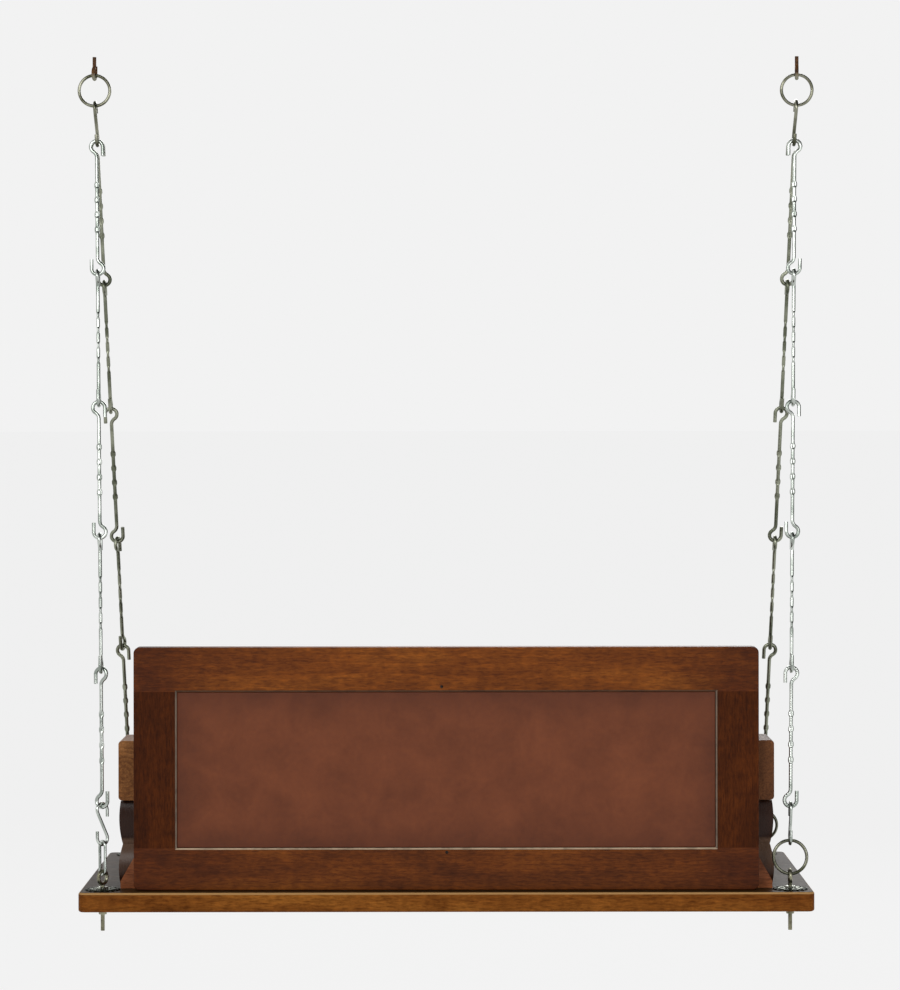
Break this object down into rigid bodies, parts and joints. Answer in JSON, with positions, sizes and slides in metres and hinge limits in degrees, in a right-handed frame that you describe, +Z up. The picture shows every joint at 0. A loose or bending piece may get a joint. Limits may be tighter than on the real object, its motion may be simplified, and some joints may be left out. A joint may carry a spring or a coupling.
{
  "type": "jhoola swing",
  "caption": "Hanging wooden bench with a leather panelled back and arm rests, hung on chains of hooked iron rods from ceiling hooks.",
  "frame": {"origin": "halfway between the two ceiling hooks, at the tops of their shanks", "axes": "+X to the right seen from behind the back, +Y the way the seat faces, +Z up"},
  "size_m": [1.2704, 0.56, 1.4814],
  "materials": {
    "rusty_hook_iron": "rusted",
    "dull_ring_iron": "dull zinc",
    "bright_rod_iron": "bright plated, worn",
    "olive_rod_iron": "dull plated, worn",
    "cast_rosette_silver": "cast, polished on the high spots",
    "dark_screw_steel": "darkened",
    "brown_leather": "satin, fine grain",
    "board_wood": "oiled and waxed",
    "rail_wood": "oiled and waxed",
    "dark_stile_wood": "oiled and waxed"
  },
  "bodies": {
    "ceiling_hooks": {"ceiling_hook_left": "rusty_hook_iron", "ceiling_hook_right": "rusty_hook_iron"},
    "top_rings": {"top_ring_left": "dull_ring_iron", "top_ring_right": "dull_ring_iron"},
    "left_chains": {"oval_link_front_left": "olive_rod_iron", "oval_link_rear_left": "bright_rod_iron", "rod_front_left_1": "olive_rod_iron", "rod_front_left_2": "olive_rod_iron", "rod_front_left_3": "olive_rod_iron", "rod_front_left_4": "olive_rod_iron", "rod_front_left_5": "olive_rod_iron", "rod_rear_left_1": "bright_rod_iron", "rod_rear_left_2": "bright_rod_iron", "rod_rear_left_3": "bright_rod_iron", "rod_rear_left_4": "bright_rod_iron", "rod_rear_left_5": "bright_rod_iron", "s_hook_front_left": "olive_rod_iron", "s_hook_rear_left": "bright_rod_iron", "top_link_left": "dull_ring_iron"},
    "right_chains": {"rod_front_right_1": "olive_rod_iron", "rod_front_right_2": "olive_rod_iron", "rod_front_right_3": "olive_rod_iron", "rod_front_right_4": "olive_rod_iron", "rod_front_right_5": "olive_rod_iron", "rod_rear_right_1": "bright_rod_iron", "rod_rear_right_2": "bright_rod_iron", "rod_rear_right_3": "bright_rod_iron", "rod_rear_right_4": "bright_rod_iron", "rod_rear_right_5": "bright_rod_iron", "s_hook_front_right": "olive_rod_iron", "s_hook_rear_right": "bright_rod_iron", "top_link_right": "dull_ring_iron"},
    "seat": {"arm_dowels": "rail_wood", "arm_post_front_left": "dark_stile_wood", "arm_post_front_right": "dark_stile_wood", "arm_post_rear_left": "dark_stile_wood", "arm_post_rear_right": "dark_stile_wood", "arm_rest_left": "rail_wood", "arm_rest_right": "rail_wood", "back_bottom_rail": "rail_wood", "back_core_panel": "dark_stile_wood", "back_pegs": "rail_wood", "back_stile_left": "dark_stile_wood", "back_stile_right": "dark_stile_wood", "back_top_rail": "rail_wood", "bolt_nuts": "bright_rod_iron", "bolt_washers": "bright_rod_iron", "eyebolts": "bright_rod_iron", "leather_pad_front": "brown_leather", "leather_pad_rear": "brown_leather", "panel_screws": "dark_screw_steel", "post_screws": "dark_screw_steel", "rosettes": "cast_rosette_silver", "seat_plank_1": "board_wood", "seat_plank_2": "board_wood", "seat_plank_3": "board_wood", "seat_plank_4": "board_wood", "wedge_feet": "rail_wood"},
    "low_ring_rear": {"lower_ring_rear_right": "bright_rod_iron"},
    "low_ring_front": {"lower_ring_front_right": "olive_rod_iron"}
  },
  "joints": [
    {"name": "swing", "type": "hinge", "parent": "ceiling_hooks", "child": "top_rings", "pos_m": [0, 0, -0.03155], "axis": [1, 0, 0], "range_deg": [-25, 25]},
    {"name": "side_sway", "type": "hinge", "parent": "top_rings", "child": "left_chains", "pos_m": [-0.606, 0, -0.05795], "axis": [0, 1, 0], "range_deg": [-3, 3]},
    {"name": "left_eye_turn", "type": "hinge", "parent": "left_chains", "child": "seat", "pos_m": [-0.572, 0.062, -1.38167], "axis": [0, 1, 0], "range_deg": [-4, 4]},
    {"name": "right_eye_turn", "type": "hinge", "parent": "seat", "child": "right_chains", "pos_m": [0.572, 0.062, -1.38167], "axis": [0, 1, 0], "range_deg": [-4, 4]},
    {"name": "low_ring_turn_rear", "type": "hinge", "parent": "right_chains", "child": "low_ring_rear", "pos_m": [0.57668, -0.17542, -1.36003], "axis": [0, 0.9902, -0.14], "continuous": true},
    {"name": "low_ring_turn_front", "type": "hinge", "parent": "right_chains", "child": "low_ring_front", "pos_m": [0.56887, 0.29635, -1.36062], "axis": [0, 0.9722, 0.2341], "continuous": true}
  ],
  "couplings": [
    {"joint": "left_eye_turn", "follows": "side_sway", "ratio": -1.0594},
    {"joint": "right_eye_turn", "follows": "side_sway", "ratio": 1.0594}
  ]
}
